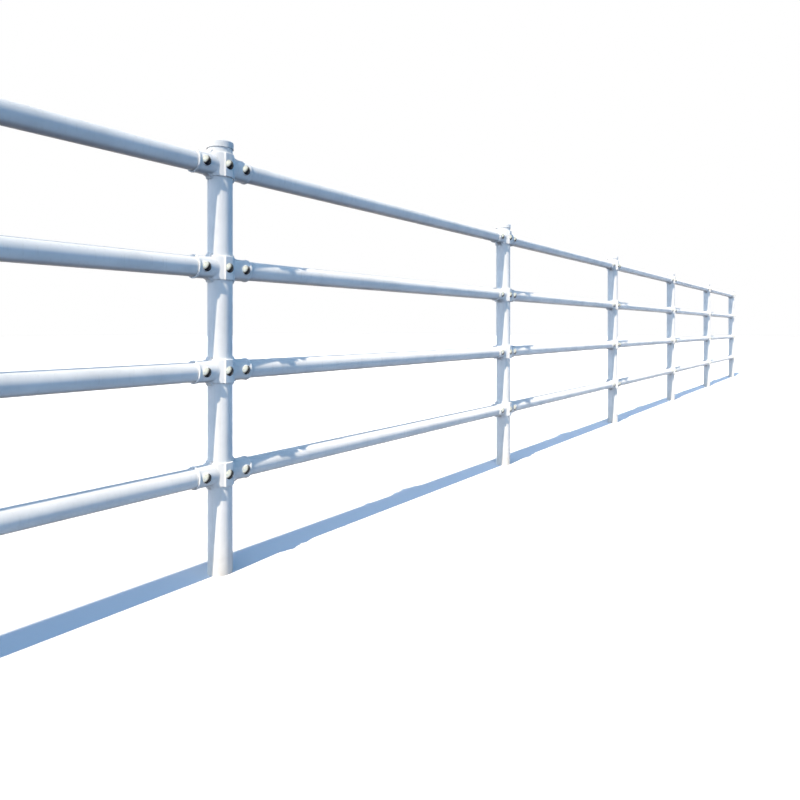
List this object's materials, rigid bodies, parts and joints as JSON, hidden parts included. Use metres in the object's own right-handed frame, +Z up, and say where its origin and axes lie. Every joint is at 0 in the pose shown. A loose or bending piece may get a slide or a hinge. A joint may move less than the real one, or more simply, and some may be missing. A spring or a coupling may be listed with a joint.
{
  "type": "pedestrian guardrail",
  "caption": "Run of white pedestrian guardrail: round capped posts carry four horizontal tube rails in bolted cast cross fittings.",
  "frame": {"origin": "centre of the middle post's foot, on its lower face at ground level", "axes": "+X along the fence towards its far end, +Y to the back, +Z up the posts"},
  "size_m": [9.156, 0.0909, 1.0582],
  "materials": {
    "tube_coating": "white coating, semi-gloss, on steel tube",
    "casting_coating": "white coating, semi-gloss, on cast metal with a faintly uneven surface",
    "bolt_steel": "polished stainless steel, domed heads"
  },
  "bodies": {
    "root": {"post_1": "tube_coating", "post_2": "tube_coating", "post_3": "tube_coating", "post_4": "tube_coating", "post_5": "tube_coating", "post_6": "tube_coating", "post_7": "tube_coating", "post_cap_1": "casting_coating", "post_cap_2": "casting_coating", "post_cap_3": "casting_coating", "post_cap_4": "casting_coating", "post_cap_5": "casting_coating", "post_cap_6": "casting_coating", "post_cap_7": "casting_coating", "fittings_1": "casting_coating", "fittings_2": "casting_coating", "fittings_3": "casting_coating", "fittings_4": "casting_coating", "fittings_5": "casting_coating", "fittings_6": "casting_coating", "fittings_7": "casting_coating", "post_bolts": "bolt_steel", "bottom_rail_1": "tube_coating", "lower_rail_1": "tube_coating", "upper_rail_1": "tube_coating", "top_rail_1": "tube_coating", "bottom_rail_2": "tube_coating", "lower_rail_2": "tube_coating", "upper_rail_2": "tube_coating", "top_rail_2": "tube_coating", "bottom_rail_3": "tube_coating", "lower_rail_3": "tube_coating", "upper_rail_3": "tube_coating", "top_rail_3": "tube_coating", "bottom_rail_4": "tube_coating", "lower_rail_4": "tube_coating", "upper_rail_4": "tube_coating", "top_rail_4": "tube_coating", "bottom_rail_5": "tube_coating", "lower_rail_5": "tube_coating", "upper_rail_5": "tube_coating", "top_rail_5": "tube_coating", "bottom_rail_6": "tube_coating", "lower_rail_6": "tube_coating", "upper_rail_6": "tube_coating", "top_rail_6": "tube_coating"}
  },
  "joints": []
}
